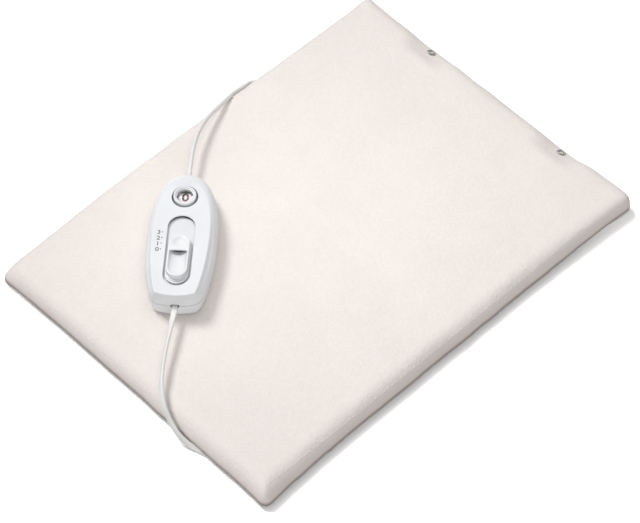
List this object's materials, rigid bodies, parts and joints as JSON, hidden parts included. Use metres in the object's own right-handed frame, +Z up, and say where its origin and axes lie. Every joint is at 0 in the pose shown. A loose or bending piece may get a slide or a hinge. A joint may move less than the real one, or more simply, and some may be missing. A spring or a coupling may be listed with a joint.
{
  "type": "heating pad with controller",
  "caption": "Flat fleece heating pad with a wired hand controller that has a slide switch and a round number window, and a flat mains cord with a plug.",
  "frame": {"origin": "under the middle of the pad, on the surface that it lies on", "axes": "+X along the pad towards the end with the press studs, +Y across it towards the side where the lead enters, +Z up"},
  "size_m": [0.4643, 0.4395, 0.0506],
  "materials": {
    "fleece": "brushed fleece",
    "wadding": "loose fibre",
    "carrier_cloth": "plain weave",
    "wire_insulation": "smooth",
    "case_plastic": "satin",
    "knob_plastic": "satin",
    "inner_plastic": "moulded",
    "number_strip": "printed",
    "lens": "clear",
    "steel": "plated",
    "brass": "plain",
    "board": "laminate",
    "dark_part": "moulded",
    "lamp": "clear",
    "cord": "soft",
    "plug": "moulded"
  },
  "bodies": {
    "pad": {"cover_top": "fleece", "cover_bottom": "fleece", "upper_wadding": "wadding", "lower_wadding": "wadding", "wire_carrier": "carrier_cloth", "heating_wire": "wire_insulation", "thermostat_1": "case_plastic", "thermostat_2": "case_plastic", "lead_boot": "cord", "lead_splice": "inner_plastic", "press_stud_a_post": "steel", "press_stud_a_back_ring": "steel", "press_stud_b_post": "steel", "press_stud_b_back_ring": "steel", "top_housing": "case_plastic", "bottom_housing": "case_plastic", "window_bezel": "case_plastic", "window_lens": "lens", "detent_spring": "steel", "circuit_board": "board", "contact_rail_1": "brass", "contact_rail_2": "brass", "indicator_led": "lamp", "film_capacitor": "dark_part", "triac": "dark_part", "terminal_block_mains": "dark_part", "terminal_block_pad": "dark_part", "fuse_link": "inner_plastic", "power_resistor": "inner_plastic", "cord_clamp_1": "inner_plastic", "cord_clamp_2": "inner_plastic", "housing_screw_1": "steel", "housing_screw_2": "steel", "housing_screw_3": "steel", "housing_screw_4": "steel", "pad_lead": "cord", "mains_lead": "cord", "mains_coil": "cord", "cord_tie": "dark_part", "plug_boot": "plug", "plug_body": "plug", "plug_pin_1": "brass", "plug_pin_2": "brass"},
    "slider": {"slider_knob": "knob_plastic", "slider_carriage": "inner_plastic", "number_strip": "number_strip", "wiper_contact": "brass"},
    "flap": {"cover_flap": "fleece", "press_stud_a_cap_ring": "steel", "press_stud_a_socket": "steel", "press_stud_b_cap_ring": "steel", "press_stud_b_socket": "steel"}
  },
  "joints": [
    {"name": "heat_slide", "type": "slide", "parent": "pad", "child": "slider", "axis": [0.7373, 0.6756, 0], "range_m": [0, 0.01725]},
    {"name": "flap_lift", "type": "hinge", "parent": "pad", "child": "flap", "pos_m": [0.168, 0, 0.0205], "axis": [0, -1, 0], "range_deg": [0, 50]}
  ]
}
